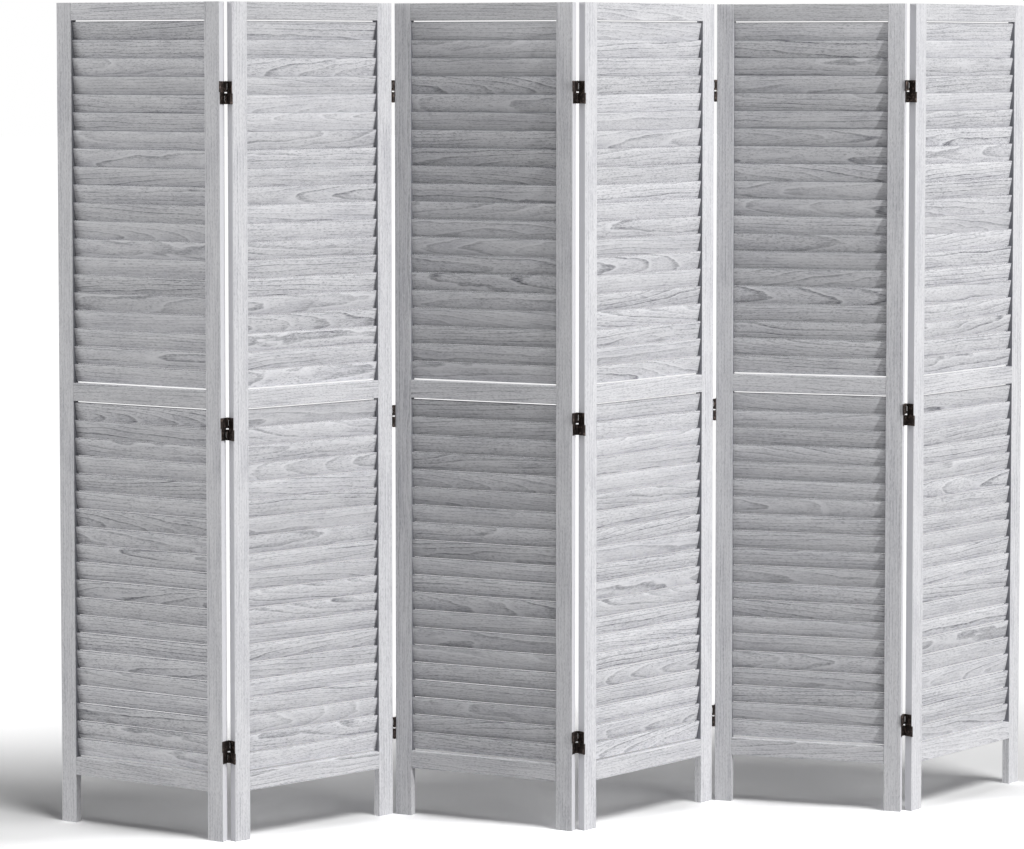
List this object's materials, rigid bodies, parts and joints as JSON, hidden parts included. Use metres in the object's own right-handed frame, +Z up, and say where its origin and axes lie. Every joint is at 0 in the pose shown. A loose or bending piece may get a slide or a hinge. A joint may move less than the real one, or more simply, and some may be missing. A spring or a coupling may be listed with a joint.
{
  "type": "folding screen",
  "caption": "Free-standing folding room screen: louvred wooden panels in a zigzag, joined edge to edge by double-acting bronze hinges.",
  "frame": {"origin": "on the floor, under the middle of the standing zigzag's box", "axes": "+X along the zigzag from the left end panel to the right end panel, +Y from the front to the back, +Z up"},
  "size_m": [2.0836, 0.3118, 1.7],
  "materials": {
    "whitewashed_wood": "thin whitewash over straight open grain, matt, grain showing through in grey",
    "bronzed_hinge": "dark antique bronze plating on sheet metal, satin, brown where handled",
    "bronzed_pin": "dark antique bronze plating on turned pins, satin",
    "bronzed_screw": "dark antique bronze plating on countersunk screws, satin"
  },
  "bodies": {
    "panel_1": {"panel_1_left_stile": "whitewashed_wood", "panel_1_right_stile": "whitewashed_wood", "panel_1_top_rail": "whitewashed_wood", "panel_1_mid_rail": "whitewashed_wood", "panel_1_bottom_rail": "whitewashed_wood", "panel_1_slats": "whitewashed_wood", "panel_1_hinge_leaves": "bronzed_hinge", "panel_1_hinge_links": "bronzed_hinge", "panel_1_hinge_pins": "bronzed_pin", "panel_1_hinge_screws": "bronzed_screw"},
    "panel_2": {"panel_2_left_stile": "whitewashed_wood", "panel_2_right_stile": "whitewashed_wood", "panel_2_top_rail": "whitewashed_wood", "panel_2_mid_rail": "whitewashed_wood", "panel_2_bottom_rail": "whitewashed_wood", "panel_2_slats": "whitewashed_wood", "panel_2_hinge_leaves": "bronzed_hinge", "panel_2_hinge_links": "bronzed_hinge", "panel_2_hinge_pins": "bronzed_pin", "panel_2_hinge_screws": "bronzed_screw"},
    "panel_3": {"panel_3_left_stile": "whitewashed_wood", "panel_3_right_stile": "whitewashed_wood", "panel_3_top_rail": "whitewashed_wood", "panel_3_mid_rail": "whitewashed_wood", "panel_3_bottom_rail": "whitewashed_wood", "panel_3_slats": "whitewashed_wood", "panel_3_hinge_leaves": "bronzed_hinge", "panel_3_hinge_links": "bronzed_hinge", "panel_3_hinge_pins": "bronzed_pin", "panel_3_hinge_screws": "bronzed_screw"},
    "panel_4": {"panel_4_left_stile": "whitewashed_wood", "panel_4_right_stile": "whitewashed_wood", "panel_4_top_rail": "whitewashed_wood", "panel_4_mid_rail": "whitewashed_wood", "panel_4_bottom_rail": "whitewashed_wood", "panel_4_slats": "whitewashed_wood", "panel_4_hinge_leaves": "bronzed_hinge", "panel_4_hinge_links": "bronzed_hinge", "panel_4_hinge_pins": "bronzed_pin", "panel_4_hinge_screws": "bronzed_screw"},
    "panel_5": {"panel_5_left_stile": "whitewashed_wood", "panel_5_right_stile": "whitewashed_wood", "panel_5_top_rail": "whitewashed_wood", "panel_5_mid_rail": "whitewashed_wood", "panel_5_bottom_rail": "whitewashed_wood", "panel_5_slats": "whitewashed_wood", "panel_5_hinge_leaves": "bronzed_hinge", "panel_5_hinge_links": "bronzed_hinge", "panel_5_hinge_pins": "bronzed_pin", "panel_5_hinge_screws": "bronzed_screw"},
    "panel_6": {"panel_6_left_stile": "whitewashed_wood", "panel_6_right_stile": "whitewashed_wood", "panel_6_top_rail": "whitewashed_wood", "panel_6_mid_rail": "whitewashed_wood", "panel_6_bottom_rail": "whitewashed_wood", "panel_6_slats": "whitewashed_wood", "panel_6_hinge_leaves": "bronzed_hinge", "panel_6_hinge_links": "bronzed_hinge", "panel_6_hinge_pins": "bronzed_pin", "panel_6_hinge_screws": "bronzed_screw"}
  },
  "joints": [
    {"name": "fold_1_2", "type": "hinge", "parent": "panel_2", "child": "panel_1", "pos_m": [-0.71875, -0.10064, 0.84], "axis": [0, 0, 1], "range_deg": [-111.6, 68.4]},
    {"name": "fold_2_3", "type": "hinge", "parent": "panel_3", "child": "panel_2", "pos_m": [-0.35239, 0.07737, 0.84], "axis": [0, 0, -1], "range_deg": [-116.6, 63.4]},
    {"name": "fold_3_4", "type": "hinge", "parent": "panel_3", "child": "panel_4", "pos_m": [-0.0059, -0.13675, 0.84], "axis": [0, 0, -1], "range_deg": [-110.1, 69.9]},
    {"name": "fold_4_5", "type": "hinge", "parent": "panel_4", "child": "panel_5", "pos_m": [0.33795, 0.08159, 0.84], "axis": [0, 0, 1], "range_deg": [-117.4, 62.6]},
    {"name": "fold_5_6", "type": "hinge", "parent": "panel_5", "child": "panel_6", "pos_m": [0.70884, -0.08677, 0.84], "axis": [0, 0, -1], "range_deg": [-115.5, 64.5]}
  ]
}
